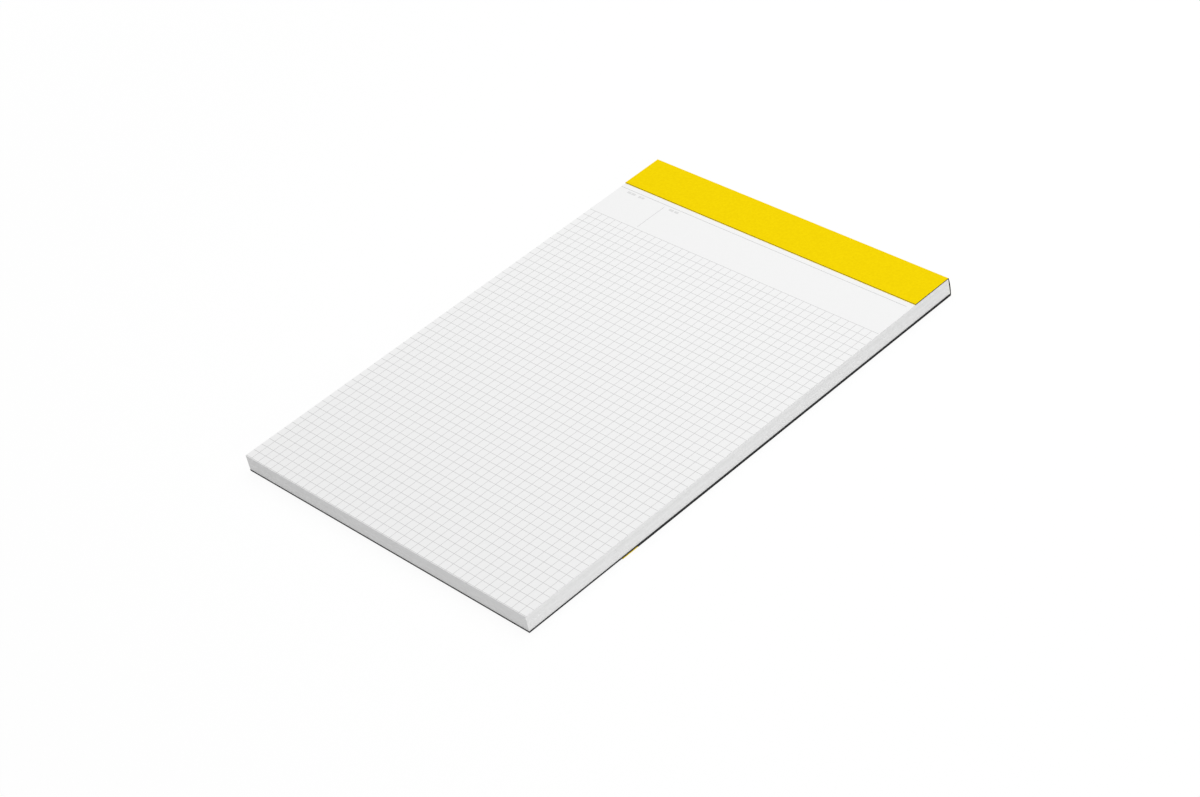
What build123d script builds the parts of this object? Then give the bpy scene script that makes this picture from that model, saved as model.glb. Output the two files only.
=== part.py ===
from build123d import *
import os

os.makedirs("parts", exist_ok=True)

# A top-bound writing pad that lies face up. X runs across the page, Y up the page to the bound
# head, and Z up. The origin is under the middle of the pad, on the surface that it lies on.

# Sheets of writing paper
sheet_width = 204.2
sheet_length = 292.0  # of the top sheet, from its bottom edge to the head
sheet_count = 80
sheet_thickness = 0.111
edge_wander = 0.05  # how far a sheet's free edges may fall short of the trimmed line
wander_step = 0.618  # share of that wander from one sheet to the next, so that no two neighbours agree
left_phase, right_phase, bottom_phase = 0.0, 0.3, 0.6  # where each edge starts in that wander
head_draw = 0.6  # how far the cut at the head leans back, from the top sheet down to the board

# Padding glue on the head
glue_thickness = 0.35  # over the head of the top sheet

# Backing board
board_thickness = 1.0

# Cover card, folded over the head
card_thickness = 0.5
strip_length = 25.3  # on the front, from the head of the card to the strip's cut edge
back_panel_length = 233.2  # under the board, from the head of the card to its free end
spine_bow = 0.35  # how far the card stands off the head between its two folds

# Levels, from the surface up
board_bottom = card_thickness
board_top = board_bottom + board_thickness
page = board_top + sheet_count * sheet_thickness

# Stations along the pad, from the bottom edge to the head
overall_length = sheet_length + glue_thickness + spine_bow + card_thickness
bottom_edge = -overall_length / 2
sheet_head = bottom_edge + sheet_length
spine = sheet_head + glue_thickness
strip_edge = spine + card_thickness - strip_length
back_edge = spine + card_thickness - back_panel_length


def wander(index, phase):
    """How far one edge of a sheet falls short of the trimmed line."""
    return edge_wander * ((index * wander_step + phase) % 1)


# The sheets are a stack of thin slabs with slightly uneven free edges, fused by their glued faces.
# One leaning cut trims them all at the head.
with BuildPart() as sheet_block:
    for index in range(sheet_count):
        left = -sheet_width / 2 + wander(index, left_phase)
        right = sheet_width / 2 - wander(index, right_phase)
        bottom = bottom_edge + wander(index, bottom_phase)
        with BuildSketch(Plane.XY.offset(board_top + index * sheet_thickness)):
            with Locations((left, bottom)):
                Rectangle(right - left, sheet_head - bottom, align=Align.MIN)
    extrude(amount=sheet_thickness)
    head_cut = Plane(
        origin=(0, sheet_head, page),
        x_dir=(1, 0, 0),
        z_dir=(0, page - board_top, -head_draw),
    )
    split(bisect_by=head_cut, keep=Keep.BOTTOM)
sheet_block.part.label = "sheet_block"
export_step(sheet_block.part, "parts/sheet_block.step")

# The glue fills the wedge between the leaning heads of the sheets and the line of the cover's spine.
with BuildPart() as head_glue:
    with BuildSketch(Plane.YZ):
        with BuildLine():
            Polyline(
                (sheet_head, page),
                (spine, page),
                (spine, board_top),
                (sheet_head - head_draw, board_top),
                close=True,
            )
        make_face()
    extrude(amount=sheet_width / 2, both=True)
head_glue.part.label = "head_glue"
export_step(head_glue.part, "parts/head_glue.step")

# The board reaches from the bottom edge to the cover's spine.
with BuildPart() as backing_board:
    with BuildSketch(Plane.XY.offset(board_bottom)):
        with Locations((0, bottom_edge)):
            Rectangle(sheet_width, spine - bottom_edge, align=(Align.CENTER, Align.MIN))
    extrude(amount=board_thickness)
backing_board.part.label = "backing_board"
export_step(backing_board.part, "parts/backing_board.step")

# The cover's inner face runs along the page, down the spine in a shallow bow and back under the
# board. The card's thickness is laid on the outside of that line, so it rounds both folds.
with BuildPart() as cover:
    with BuildSketch(Plane.YZ):
        with BuildLine():
            Line((strip_edge, page), (spine, page))
            ThreePointArc(
                (spine, page),
                (spine + spine_bow, (page + board_bottom) / 2),
                (spine, board_bottom),
            )
            Line((spine, board_bottom), (back_edge, board_bottom))
            offset(amount=card_thickness, side=Side.LEFT, closed=True)
        make_face()
    extrude(amount=sheet_width / 2, both=True)
cover.part.label = "cover"
export_step(cover.part, "parts/cover.step")
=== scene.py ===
import bmesh
import bpy
import math
import random
from mathutils import Matrix, Quaternion, Vector, noise


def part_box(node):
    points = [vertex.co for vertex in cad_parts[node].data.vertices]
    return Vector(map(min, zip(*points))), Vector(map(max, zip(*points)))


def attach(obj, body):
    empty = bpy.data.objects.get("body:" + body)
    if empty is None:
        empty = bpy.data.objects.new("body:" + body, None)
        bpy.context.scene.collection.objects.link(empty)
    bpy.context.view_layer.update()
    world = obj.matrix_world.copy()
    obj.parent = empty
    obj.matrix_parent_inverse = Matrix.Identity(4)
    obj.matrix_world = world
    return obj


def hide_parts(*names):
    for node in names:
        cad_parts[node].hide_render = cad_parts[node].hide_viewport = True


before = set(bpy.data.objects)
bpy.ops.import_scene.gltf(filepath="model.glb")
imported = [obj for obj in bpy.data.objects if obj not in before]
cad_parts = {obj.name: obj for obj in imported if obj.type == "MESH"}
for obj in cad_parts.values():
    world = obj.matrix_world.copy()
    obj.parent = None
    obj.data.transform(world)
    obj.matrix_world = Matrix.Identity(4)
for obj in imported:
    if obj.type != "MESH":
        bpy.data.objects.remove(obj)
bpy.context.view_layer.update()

# Backing board
# Dark grey board pressed from recycled fibre, cut to size on a guillotine with the sheets.
# It lies under them, and the glue on the head holds it.
mm = 0.001
board_low, board_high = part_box("backing_board")
board_rim = 0.06 * mm  # rounding that the blade leaves along each edge
board_rim_steps = 2
board_fibre_dark = (34, 34, 35)
board_fibre_pale = (70, 70, 72)
board_fleck = (96, 95, 93)  # single pale fibres, left over from the white paper in the pulp
felt_size = 0.35 * mm  # of the matted fibres on the board's faces
felt_share = 0.7  # of the felt in the board's tone, beside the layers that it is pressed from
layer_sizes = (3 * mm, 3 * mm, 0.12 * mm)
pulp_contrast = (0.3, 0.7)  # grain that shows the darkest and the palest pulp
fibre_width = 0.12 * mm
fibre_along, fibre_across = 1.8 * mm, 1.4 * mm  # lengths of the pale fibres that lie each way
along_show, across_show = (0.72, 0.8), (0.74, 0.82)  # grain from which they come up, and in full
felt_relief = (0.05 * mm, 0.6)  # depth, and how strongly it shows
board_roughness = 0.92
felt_roughness = 0.05  # added on the felt's high spots
uncoated_shine = 0.08  # how little a bare fibre surface reflects, against 0.5 for plastic


def shade(red, green, blue):
    """A colour as a picture shows it, 0 to 255, in the linear light that a shader takes."""
    levels = [level / 255 for level in (red, green, blue)]
    linear = [x / 12.92 if x <= 0.04045 else ((x + 0.055) / 1.055) ** 2.4 for x in levels]
    return (*linear, 1.0)


class Socket:
    """An output of a finish's nodes. Sums and products of outputs add their Math nodes."""

    def __init__(self, socket):
        self.socket = socket
        self.tree = socket.id_data

    def node(self, kind, settings, sockets, output=0):
        """Adds a node: its settings first, then a value or a link for each of its sockets."""
        made = self.tree.nodes.new(kind)
        for name, setting in settings.items():
            setattr(made, name, setting)
        for name, value in sockets.items():
            if isinstance(value, Socket):
                value.feed(made.inputs[name])
            else:
                made.inputs[name].default_value = value
        return Socket(made.outputs[output])

    def feed(self, target):
        self.tree.links.new(self.socket, target)

    def math(self, operation, first, second):
        return self.node("ShaderNodeMath", {"operation": operation}, {0: first, 1: second})

    def __add__(self, other):
        return self.math("ADD", self, other)

    def __radd__(self, other):
        return self.math("ADD", other, self)

    def __sub__(self, other):
        return self.math("SUBTRACT", self, other)

    def __rsub__(self, other):
        return self.math("SUBTRACT", other, self)

    def __mul__(self, other):
        return self.math("MULTIPLY", self, other)

    def __rmul__(self, other):
        return self.math("MULTIPLY", other, self)

    def ramp(self, low, high):
        """0 below low, 1 above high, and smooth between them."""
        return self.node(
            "ShaderNodeMapRange",
            {"interpolation_type": "SMOOTHSTEP"},
            {"Value": self, "From Min": low, "From Max": high},
        )

    def between(self, first, second):
        """The colour between two, by how much of the second this output asks for."""
        return self.node(
            "ShaderNodeMix", {"data_type": "RGBA"}, {0: self, 6: first, 7: second}, 2
        )

    def grain(self, *sizes, detail=3.0):
        """Noise, 0 to 1, whose spots are about this large along X, Y and Z of the place."""
        spread = tuple(1 / size for size in (sizes * 3)[:3])
        stretched = self.node(
            "ShaderNodeVectorMath", {"operation": "MULTIPLY"}, {0: self, 1: spread}
        )
        return self.node(
            "ShaderNodeTexNoise", {}, {"Vector": stretched, "Scale": 1.0, "Detail": detail}
        )

    def relief(self, depth, strength):
        """The surface's normal, with this output as its height."""
        return self.node(
            "ShaderNodeBump", {}, {"Height": self, "Distance": depth, "Strength": strength}
        )


def new_finish(name):
    """A new material, its shader and the place on the piece that its pattern is drawn by."""
    material = bpy.data.materials.new(name)
    material.use_nodes = True
    place = Socket(material.node_tree.nodes.new("ShaderNodeTexCoord").outputs["Object"])
    return material, material.node_tree.nodes["Principled BSDF"], place


def lay_down(shape, name, *finishes):
    """Makes a finished shape a piece of the pad."""
    mesh = bpy.data.meshes.new(name)
    shape.to_mesh(mesh)
    shape.free()
    for material in finishes:
        mesh.materials.append(material)
    piece = bpy.data.objects.new(name, mesh)
    bpy.context.scene.collection.objects.link(piece)
    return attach(piece, "root")


def add_slab(shape, low, high):
    """Adds a rectangular slab between two corners."""
    middle = Matrix.Translation((low + high) / 2)
    bmesh.ops.create_cube(shape, size=1.0, matrix=middle @ Matrix.Diagonal((*(high - low), 1.0)))


def round_edges(shape, edges, radius, steps):
    """Rounds some edges of a shape."""
    bmesh.ops.bevel(
        shape,
        geom=edges,
        offset=radius,
        offset_type="OFFSET",
        affect="EDGES",
        segments=steps,
        profile=0.5,
        material=-1,
    )


board = bmesh.new()
add_slab(board, board_low, board_high)
round_edges(board, board.edges[:], board_rim, board_rim_steps)

board_finish, shader, place = new_finish("grey_board")
felt = place.grain(felt_size)
layers = place.grain(*layer_sizes)
fibres = felt * felt_share + layers * (1 - felt_share)
pulp = fibres.ramp(*pulp_contrast).between(shade(*board_fibre_dark), shade(*board_fibre_pale))
lengthwise = place.grain(fibre_width, fibre_along, fibre_width, detail=0.0).ramp(*along_show)
crosswise = place.grain(fibre_across, fibre_width, fibre_width, detail=0.0).ramp(*across_show)
flecks = lengthwise.math("MAXIMUM", lengthwise, crosswise)
flecks.between(pulp, shade(*board_fleck)).feed(shader.inputs["Base Color"])
fibres.relief(*felt_relief).feed(shader.inputs["Normal"])
(board_roughness + felt_roughness * felt).feed(shader.inputs["Roughness"])
shader.inputs["Specular IOR Level"].default_value = uncoated_shine

backing_board = lay_down(board, "backing_board_piece", board_finish)
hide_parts("backing_board")

# Sheets
# Eighty sheets of white writing paper, knocked up into a block and trimmed with a guillotine.
# They were stacked in small lifts, so faint lines run along the trimmed edges where lifts meet.
sheets_low, sheets_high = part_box("sheet_block")
lift_sizes = (9, 13, 8, 12, 14, 7, 11, 6)  # sheets in each lift, from the board up
lift_tones = (0.4, 0.75, 0.45, 0.8, 0.5, 0.3, 0.7, 0.45)  # how white each one's edges are, 0 to 1, between the painted shade grey and white
lift_share = 0.6  # of the lift's tone in a sheet's edge, beside the sheet's own
sheet_count = sum(lift_sizes)
sheet_thickness = (sheets_high.z - sheets_low.z) / sheet_count
head_draw = 0.6 * mm  # how far the cut at the head leans back, from the top sheet to the board
lift_shift = 0.05 * mm  # how far a lift may fall short of the trimmed line
sheet_shift = 0.05 * mm  # how far a sheet may fall short of its lift
edge_wave = 0.02 * mm  # how far a sheet's edge strays from straight
glue_soak = 0.05 * mm  # how far a sheet's head may reach into the glue
wave_length = 60 * mm
stations_along_edge = 12
stacking_seed = 11
snap = 0.001 * mm  # points closer than this are one
paper_white = (244, 244, 244)
# painted shade: the trimmed edges are greyer than the page, standing in for the shade between the
# sheets
paper_edge_painted_shade = (231, 231, 231)
cloud_size, cloud_detail = 1.6 * mm, 5.0  # of the uneven look of paper against the light
cloud_share = 0.06
paper_tooth = 0.18 * mm
paper_relief = (0.01 * mm, 0.25)
paper_roughness = 0.8
cloud_roughness = 0.1

random.seed(stacking_seed)
lift_of_sheet = [lift for lift, size in enumerate(lift_sizes) for _ in range(size)]
sides = ("left", "right", "bottom")
lift_setback = [{side: random.uniform(0, lift_shift) for side in sides} for _ in lift_sizes]
sheet_setback = [
    {side: random.uniform(0, sheet_shift) for side in sides} for _ in range(sheet_count)
]
sheet_tone = [random.uniform(0, 1) for _ in range(sheet_count)]
sheet_soak = [random.uniform(0, glue_soak) for _ in range(sheet_count)]


def points_of(made):
    return [part for part in made["geom"] if isinstance(part, bmesh.types.BMVert)]


def faces_of(made):
    return [part for part in made["geom"] if isinstance(part, bmesh.types.BMFace)]


def trim(ring, index, height):
    """Moves the points round one sheet to its trimmed edges, at a height."""
    lift = lift_of_sheet[index]
    setback = {
        side: lift_setback[lift][side] + sheet_setback[index][side] + edge_wave for side in sides
    }
    lean = head_draw * (sheets_high.z - height) / (sheets_high.z - sheets_low.z)
    for point in ring:
        across, along = outline[point[station]]
        wave_spot = Vector((across, along, 0)) / wave_length + Vector((0, 0, index))
        stray = edge_wave * noise.noise(wave_spot)
        if across == sheets_low.x:
            point.co.x = across + setback["left"] + stray
        elif across == sheets_high.x:
            point.co.x = across - setback["right"] - stray
        if along == sheets_low.y:
            point.co.y = along + setback["bottom"] + stray
        elif along == sheets_high.y:
            point.co.y = along - lean + sheet_soak[index]
        point.co.z = height


block = bmesh.new()
station = block.verts.layers.int.new("station")
tone = block.faces.layers.float.new("edge_tone_and_shade")
middle = (sheets_low + sheets_high) / 2
half = (sheets_high - sheets_low) / 2
bmesh.ops.create_grid(
    block,
    x_segments=1,
    y_segments=1,
    size=1.0,
    matrix=Matrix.Translation((middle.x, middle.y, sheets_low.z))
    @ Matrix.Diagonal((half.x, half.y, 1, 1)),
)
bmesh.ops.bisect_edges(block, edges=block.edges[:], cuts=stations_along_edge - 1)
outline = {}
for number, point in enumerate(block.verts):
    point[station] = number
    across = min((sheets_low.x, sheets_high.x), key=lambda x: abs(x - point.co.x))
    along = min((sheets_low.y, sheets_high.y), key=lambda y: abs(y - point.co.y))
    outline[number] = (
        across if abs(across - point.co.x) < snap else point.co.x,
        along if abs(along - point.co.y) < snap else point.co.y,
    )
trim(block.verts, 0, sheets_low.z)
block.faces.ensure_lookup_table()
top = block.faces[0]
for index in range(sheet_count):
    if index:
        # the ledge between the sheet below and this one
        made = bmesh.ops.extrude_face_region(block, geom=[top])
        bmesh.ops.delete(block, geom=[top], context="FACES_ONLY")
        trim(points_of(made), index, sheets_low.z + index * sheet_thickness)
        top = faces_of(made)[0]
    made = bmesh.ops.extrude_face_region(block, geom=[top])
    if index:
        bmesh.ops.delete(block, geom=[top], context="FACES_ONLY")
    trim(points_of(made), index, sheets_low.z + (index + 1) * sheet_thickness)
    top = faces_of(made)[0]
bmesh.ops.recalc_face_normals(block, faces=block.faces[:])
for face in block.faces:
    sheets_below = int((face.calc_center_median().z - sheets_low.z) / sheet_thickness)
    index = min(sheets_below, sheet_count - 1)
    lift_tone = lift_tones[lift_of_sheet[index]]
    face[tone] = lift_share * lift_tone + (1 - lift_share) * sheet_tone[index]
# the page stays white; every trimmed edge leans toward the painted shade grey by its random lift
# and sheet tone
top[tone] = 1.0

paper_finish, shader, place = new_finish("writing_paper")
edge_tone_and_shade = place.node("ShaderNodeAttribute", {"attribute_name": "edge_tone_and_shade"}, {}, "Fac")
cloud = place.grain(cloud_size, detail=cloud_detail)
paper = edge_tone_and_shade * (1 - cloud_share) + cloud * cloud_share
# edges get painted shade plus random tone; the cloud is the paper's own
paper.between(shade(*paper_edge_painted_shade), shade(*paper_white)).feed(shader.inputs["Base Color"])
place.grain(paper_tooth).relief(*paper_relief).feed(shader.inputs["Normal"])
(paper_roughness + cloud_roughness * cloud).feed(shader.inputs["Roughness"])
shader.inputs["Specular IOR Level"].default_value = uncoated_shine

sheets = lay_down(block, "sheets", paper_finish)
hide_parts("sheet_block")

# Printed ruling
# Squares of 5 mm with a blank header above them, printed in pale grey ink on the top sheet.
# The ruling runs off the sheet at the sides and at the bottom edge.
page = sheets_high.z
square = 5.0 * mm
squares_across = 42  # a square more than the sheet holds, so the ruling runs off both sides
lines_down = 49
middle_column = sheets_low.x + 104.43 * mm
last_line = sheets_low.y + 0.48 * mm
first_line = last_line + (lines_down - 1) * square
line_width = 0.22 * mm
rule_width = 0.25 * mm  # of the header's rule and divider
ink_film = 0.02 * mm
bleed_margin = 0.15 * mm  # the ruling stops this short of the trimmed edges
header_rule = first_line + 23.88 * mm
header_rule_end = sheets_high.x - 3.2 * mm
divider = sheets_low.x + 34.4 * mm
divider_foot = first_line + 1.65 * mm
divider_head = header_rule - 1.38 * mm
label_top = header_rule - 1.33 * mm
label_height = 1.5 * mm
label_marks = (
    (6.95, 9.7), (10.1, 12.85), (15.4, 17.2), (17.6, 19.4), (38.3, 41.4), (42.2, 45.0)
)  # where each grey bar starts and ends, in mm from the sheet's left edge
ink_grey = (194, 194, 194)
label_grey = (219, 219, 219)
thin_ink = 8  # how many levels paler the ink is where it lies thin
ink_grain = 0.4 * mm

ruling = bmesh.new()
wide = squares_across * square / 2
tall = (lines_down + 1) * square / 2
bmesh.ops.create_grid(
    ruling,
    x_segments=squares_across,
    y_segments=lines_down + 1,
    size=1.0,
    matrix=Matrix.Translation((middle_column, (first_line + last_line) / 2, page + ink_film))
    @ Matrix.Diagonal((wide, tall, 1, 1)),
)
cells = ruling.faces[:]
bmesh.ops.inset_individual(ruling, faces=cells, thickness=line_width / 2, use_even_offset=True)
bmesh.ops.delete(ruling, geom=cells, context="FACES")
for spot, outwards in (
    ((sheets_low.x + bleed_margin, 0, 0), (-1, 0, 0)),
    ((sheets_high.x - bleed_margin, 0, 0), (1, 0, 0)),
    ((0, sheets_low.y + bleed_margin, 0), (0, -1, 0)),
    ((0, first_line + line_width / 2, 0), (0, 1, 0)),
):
    bmesh.ops.bisect_plane(
        ruling,
        geom=ruling.verts[:] + ruling.edges[:] + ruling.faces[:],
        dist=snap,
        plane_co=spot,
        plane_no=outwards,
        clear_outer=True,
    )
bmesh.ops.solidify(ruling, geom=ruling.faces[:], thickness=ink_film)


def print_bar(left, bottom, right, top):
    """Adds one bar of ink to the page."""
    add_slab(ruling, Vector((left, bottom, page)), Vector((right, top, page + ink_film)))


rule_start = sheets_low.x + bleed_margin
half_rule = rule_width / 2
print_bar(rule_start, header_rule - half_rule, header_rule_end, header_rule + half_rule)
print_bar(divider - half_rule, divider_foot, divider + half_rule, divider_head)
rules = set(ruling.faces)
label_foot = label_top - label_height
for start, end in label_marks:
    print_bar(sheets_low.x + start * mm, label_foot, sheets_low.x + end * mm, label_top)
for face in ruling.faces:
    face.material_index = 0 if face in rules else 1


def ink_finish(name, grey):
    """Ink of one grey that lies a little uneven on the paper."""
    material, shader, place = new_finish(name)
    paler = [level + thin_ink for level in grey]
    ink = place.grain(ink_grain).between(shade(*grey), shade(*paler))
    ink.feed(shader.inputs["Base Color"])
    shader.inputs["Roughness"].default_value = paper_roughness
    shader.inputs["Specular IOR Level"].default_value = uncoated_shine
    return material


ruling_ink = ink_finish("ruling_ink", ink_grey)
label_ink = ink_finish("label_ink", label_grey)
printed_ruling = lay_down(ruling, "printed_ruling", ruling_ink, label_ink)

# Padding glue
# White padding glue brushed on the trimmed head, which binds the sheets and the board.
# It dries to a tough film that is thicker towards the board, where the cut leans back.
glue_white = (246, 246, 243)
glue_cream = (236, 236, 230)
stroke_sizes = (12 * mm, 0.4 * mm, 0.5 * mm)
stroke_relief = (0.05 * mm, 0.5)
glue_roughness = 0.45
head_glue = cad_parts["head_glue"]

glue_finish, shader, place = new_finish("padding_glue")
strokes = place.grain(*stroke_sizes)
strokes.between(shade(*glue_cream), shade(*glue_white)).feed(shader.inputs["Base Color"])
strokes.relief(*stroke_relief).feed(shader.inputs["Normal"])
shader.inputs["Roughness"].default_value = glue_roughness
head_glue.data.materials.clear()
head_glue.data.materials.append(glue_finish)

# Cover card
# One uncoated card, yellow outside and black inside, scored and folded over the head. Its strip
# is glued along the front, its spine panel bows a little and its back panel is under the board.
cover_low, cover_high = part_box("cover")
spine = board_high.y
card = board_low.z - cover_low.z
spine_bow = cover_high.y - spine - card
strip_length = 25.3 * mm  # from the head of the card to the strip's cut edge
strip_edge = spine + card - strip_length
bow_steps = 8
fold_round, fold_steps = 0.4 * mm, 5
knife_round, knife_steps = 0.18 * mm, 2  # the knife that cut the strip pressed its edge round
dyed_end = 9.9 * mm  # the cut edges are yellow over this length at the back panel's free end
card_yellow = (240, 209, 1)
card_yellow_pale = (250, 220, 4)
card_yellow_rubbed = (254, 234, 110)
card_painted_shade_olive = (103, 87, 4)  # painted shade: the yellow darkened on the strip's rounded front edge, where shade falls
card_painted_shade_olive_pale = (121, 103, 8)
card_black = (20, 20, 20)
card_black_worn = (38, 37, 36)
card_black_rubbed = (62, 60, 57)
tooth_size = 0.25 * mm  # of the card's fine surface
tooth_relief = (0.02 * mm, 0.4)
mottle_size, mottle_detail = 1.4 * mm, 5.0
mottle_share = 0.6  # of the mottle in the card's tone, beside its tooth
mottle_contrast = (0.3, 0.75)
fold_wear = 0.5  # how much of the rubbed tone shows on the folds
rub_sizes = (6 * mm, 0.5 * mm, 0.5 * mm)
rub_show = (0.35, 0.7)
card_roughness = 0.75
tooth_roughness = 0.1
rub_polish = 0.1  # how much smoother a rubbed fold is
card_shine = 0.02

cover = bmesh.new()
bow = [
    (
        spine + spine_bow * (1 - (2 * step / bow_steps - 1) ** 2),
        page + (board_low.z - page) * step / bow_steps,
    )
    for step in range(bow_steps + 1)
]
dyed_start = cover_low.y + dyed_end
path = [(strip_edge, page), *bow, (dyed_start, board_low.z), (cover_low.y, board_low.z)]
line = [cover.verts.new((cover_low.x, along, height)) for along, height in path]
for start, end in zip(line, line[1:]):
    cover.edges.new((start, end))
made = bmesh.ops.extrude_edge_only(cover, edges=cover.edges[:])
bmesh.ops.translate(cover, vec=(cover_high.x - cover_low.x, 0, 0), verts=points_of(made))
bmesh.ops.recalc_face_normals(cover, faces=cover.faces[:])
strip_face = max(cover.faces, key=lambda face: face.calc_center_median().z)
if strip_face.normal.z > 0:
    # the thickness is laid on the side that the faces turn away from
    bmesh.ops.reverse_faces(cover, faces=cover.faces[:])
bmesh.ops.solidify(cover, geom=cover.faces[:], thickness=card)
bmesh.ops.recalc_face_normals(cover, faces=cover.faces[:])
over_page, under_board = page + card / 2, board_low.z - card / 2  # half way through the card
folds = [
    edge
    for edge in cover.edges
    if all(point.co.y > spine + card / 2 for point in edge.verts)
    and abs(edge.verts[0].co.x - edge.verts[1].co.x) > card
    and (edge.verts[0].co.z > over_page or edge.verts[0].co.z < under_board)
]
round_edges(cover, folds, fold_round, fold_steps)
strip_rim = [
    edge
    for edge in cover.edges
    if all(point.co.z > over_page and point.co.y < strip_edge + card / 2 for point in edge.verts)
]
round_edges(cover, strip_rim, knife_round, knife_steps)

yellow, black, painted_shade_olive = range(3)  # the order of the card's finishes
flat, turned = 0.5, 0.1  # how far a face must point one way to lie flat, or to be turned that way
for face in cover.faces:
    face.normal_update()
    spot, facing = face.calc_center_median(), face.normal
    outside = (
        (facing.z > flat and spot.z > over_page)
        or (facing.z < -flat and spot.z < under_board)
        or facing.y > turned
    )
    strip_end = spot.z > page and facing.y < -turned and spot.y < spine
    free_end = spot.z < board_low.z and spot.y < dyed_start and facing.z < flat
    # the rounded top of the strip's front edge gets the painted shade finish
    if strip_end and facing.z > turned:
        face.material_index = painted_shade_olive
    elif outside or strip_end or free_end:
        face.material_index = yellow
    else:
        face.material_index = black


def card_finish(name, deep, pale, rubbed):
    """Uncoated card with a fine tooth, mottled in two tones and rubbed paler along its folds."""
    material, shader, place = new_finish(name)
    tooth = place.grain(tooth_size)
    mottle = place.grain(mottle_size, detail=mottle_detail)
    surface = mottle * mottle_share + tooth * (1 - mottle_share)
    mottled = surface.ramp(*mottle_contrast).between(shade(*deep), shade(*pale))
    along = place.node("ShaderNodeSeparateXYZ", {}, {0: place}, "Y")
    height = place.node("ShaderNodeSeparateXYZ", {}, {0: place}, "Z")
    upper_fold = height.ramp(page + card - fold_round, page + card)
    lower_fold = 1 - height.ramp(0.0, fold_round)
    on_fold = along.ramp(spine, spine + card) * (upper_fold + lower_fold)
    rub = on_fold * place.grain(*rub_sizes).ramp(*rub_show)
    (rub * fold_wear).between(mottled, shade(*rubbed)).feed(shader.inputs["Base Color"])
    tooth.relief(*tooth_relief).feed(shader.inputs["Normal"])
    roughness = card_roughness + tooth_roughness * tooth - rub_polish * rub
    roughness.feed(shader.inputs["Roughness"])
    shader.inputs["Specular IOR Level"].default_value = card_shine
    return material


folded_cover = lay_down(
    cover,
    "folded_cover",
    card_finish("yellow_card", card_yellow, card_yellow_pale, card_yellow_rubbed),
    card_finish("black_card", card_black, card_black_worn, card_black_rubbed),
    # painted shade on the strip's rounded front edge, a darkened yellow
    card_finish("painted_shade_card", card_painted_shade_olive, card_painted_shade_olive_pale, card_yellow_rubbed),
)
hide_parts("cover")

# Studio
# A white table under a wide softbox over the head of the pad, with a small one low on its right.
# The table shows white to the camera and still takes the pad's shadow.
table_size = 8.0
table_gap = 0.1 * mm  # keeps the table's surface from crossing the card that lies on it
table_white = 0.82
table_glow = 0.88  # share of the table's look that is plain white to the camera, beside the pad
fade_start, fade_end = 0.3, 1.2  # the rest of it fades to white over these distances
glow_strength = 1.03  # makes the table white where no shadow falls
sky_strength = 0.452
softboxes = (
    ("head_softbox", Vector((-0.02, 0.2, 0.77)), 1.2, 5.42),
    ("side_softbox", Vector((1.2, -0.45, 0.32)), 0.6, 3.6),
)  # name, place, width and watts
camera_place = Vector((0.912805, -0.67635, 0.858568))
camera_aim = Vector((0.01889, -0.017385, 0.01038))
camera_roll = math.radians(-13.199)
lens_length = 86.421
film_width = 36.0
white = (1, 1, 1, 1)

floor = bmesh.new()
bmesh.ops.create_grid(floor, x_segments=1, y_segments=1, size=table_size / 2)
bmesh.ops.translate(floor, vec=(0, 0, -table_gap), verts=floor.verts[:])
table_mesh = bpy.data.meshes.new("table")
floor.to_mesh(table_mesh)
floor.free()
table = bpy.data.objects.new("table", table_mesh)
bpy.context.scene.collection.objects.link(table)


def seen(tree):
    """1 for rays that show a surface to the camera, also in gloss or glass, and 0 for light."""
    path = tree.nodes.new("ShaderNodeLightPath").outputs
    straight, mirrored = Socket(path["Is Camera Ray"]), Socket(path["Is Glossy Ray"])
    through = Socket(path["Is Transmission Ray"])
    return straight.math("MAXIMUM", straight.math("MAXIMUM", straight, mirrored), through)


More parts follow.
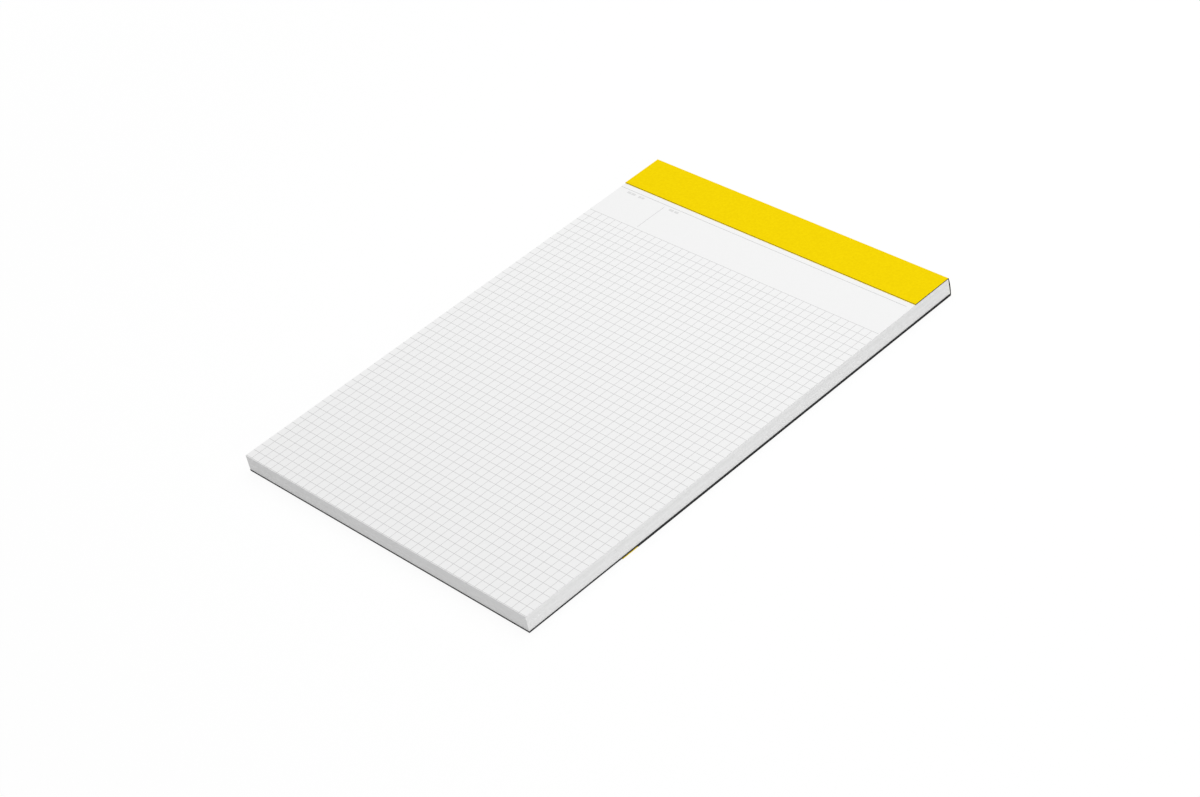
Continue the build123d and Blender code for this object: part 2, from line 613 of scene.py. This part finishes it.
table_finish, shader, place = new_finish("white_table")
shader.inputs["Base Color"].default_value = (table_white, table_white, table_white, 1.0)
shader.inputs["Roughness"].default_value = 1.0
shader.inputs["Specular IOR Level"].default_value = 0.0
glow = place.node("ShaderNodeEmission", {}, {"Color": white, "Strength": glow_strength})
distance = place.node("ShaderNodeVectorMath", {"operation": "LENGTH"}, {0: place}, "Value")
whiteness = table_glow + (1 - table_glow) * distance.ramp(fade_start, fade_end)
surface = place.node(
    "ShaderNodeMixShader",
    {},
    {0: seen(table_finish.node_tree) * whiteness, 1: Socket(shader.outputs[0]), 2: glow},
)
surface.feed(table_finish.node_tree.nodes["Material Output"].inputs["Surface"])
table_mesh.materials.append(table_finish)

world = bpy.data.worlds.new("studio")
world.use_nodes = True
sky_shader = world.node_tree.nodes["Background"]
sky_shader.inputs["Color"].default_value = white
sky_shader.inputs["Strength"].default_value = sky_strength
sky = Socket(sky_shader.outputs[0])
backdrop = sky.node("ShaderNodeBackground", {}, {"Color": white, "Strength": 1.0})
both = sky.node("ShaderNodeMixShader", {}, {0: seen(world.node_tree), 1: sky, 2: backdrop})
both.feed(world.node_tree.nodes["World Output"].inputs["Surface"])
bpy.context.scene.world = world

for name, stand, width, watts in softboxes:
    lamp = bpy.data.lights.new(name, "AREA")
    lamp.size = width
    lamp.energy = watts
    softbox = bpy.data.objects.new(name, lamp)
    softbox.location = stand
    softbox.rotation_euler = (-stand).to_track_quat("-Z", "Y").to_euler()
    softbox.visible_camera = False
    bpy.context.scene.collection.objects.link(softbox)

camera_lens = bpy.data.cameras.new("camera")
camera_lens.sensor_fit = "HORIZONTAL"
camera_lens.sensor_width = film_width
camera_lens.lens = lens_length
camera = bpy.data.objects.new("camera", camera_lens)
camera.location = camera_place
unrolled = (camera_aim - camera_place).to_track_quat("-Z", "Y")
camera.rotation_euler = (unrolled @ Quaternion((0, 0, 1), camera_roll)).to_euler()
bpy.context.scene.collection.objects.link(camera)
bpy.context.scene.camera = camera
bpy.context.scene.view_settings.view_transform = "Standard"
